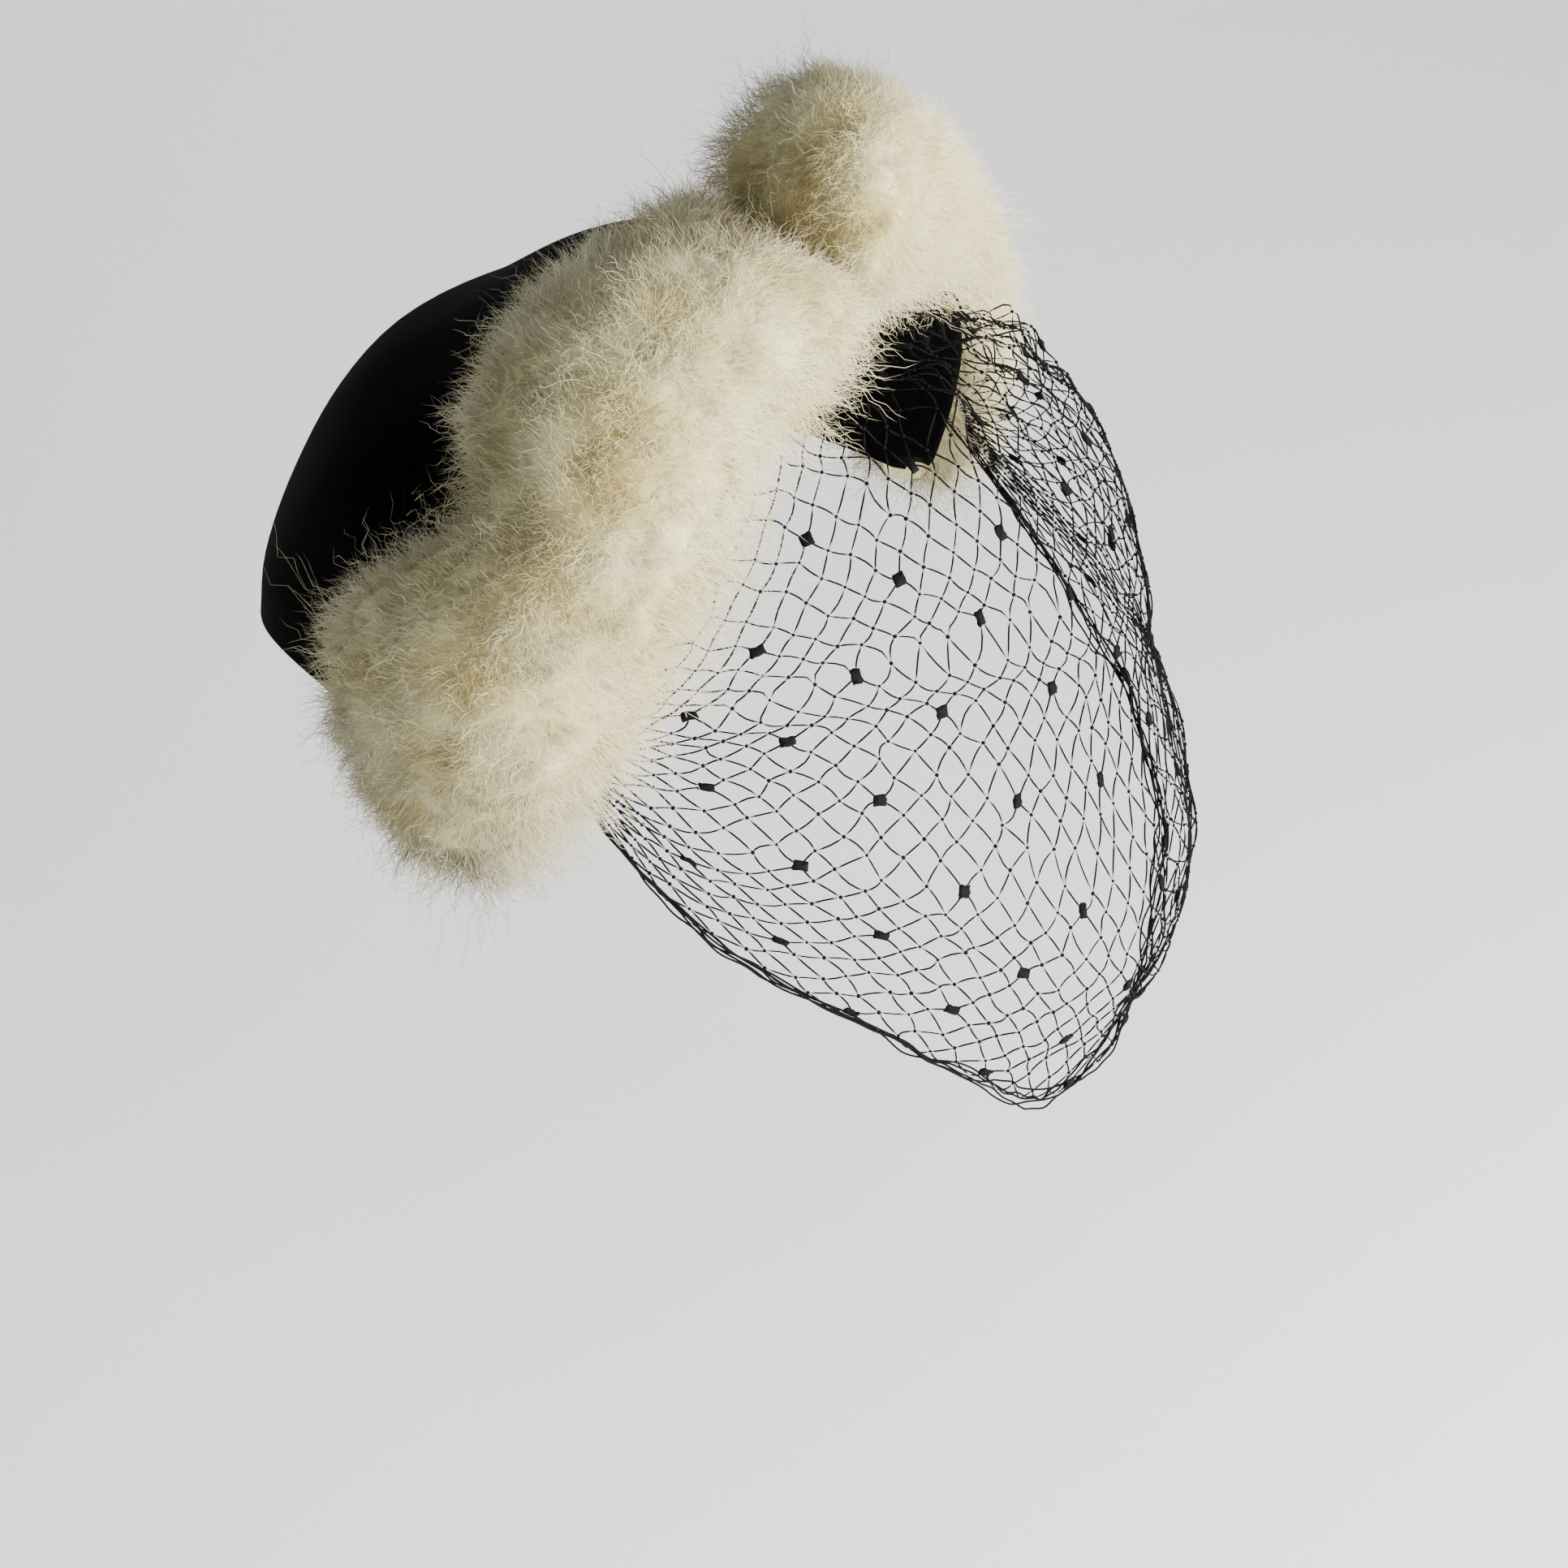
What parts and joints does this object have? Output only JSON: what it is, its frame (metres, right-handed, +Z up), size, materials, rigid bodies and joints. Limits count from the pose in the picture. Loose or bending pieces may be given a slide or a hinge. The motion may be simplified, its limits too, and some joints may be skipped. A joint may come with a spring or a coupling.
{
  "type": "half hat with fur trim and face veil",
  "caption": "Half hat: a black felt crown that hugs the back of the head, a deep cream fur band over its front edge from ear to ear, and a dotted black net veil to the mouth.",
  "frame": {"origin": "the top of the felt's inside, on the middle plane, where the hat sits on the head", "axes": "+Z up, -Y the way the wearer faces, -X towards the wearer's right ear"},
  "size_m": [0.2437, 0.2324, 0.2338],
  "materials": {
    "felt": "black velour-finished wool felt, matt with a soft short nap",
    "fur": "deep cream-white crimped fur, ivory where it is lit and yellower in its hollows",
    "net": "fine black knotted diamond net with small square chenille dots"
  },
  "bodies": {
    "root": {"crown_shell": "felt", "fur_trim_right": "fur", "fur_trim_left": "fur", "net_veil": "net"}
  },
  "joints": []
}
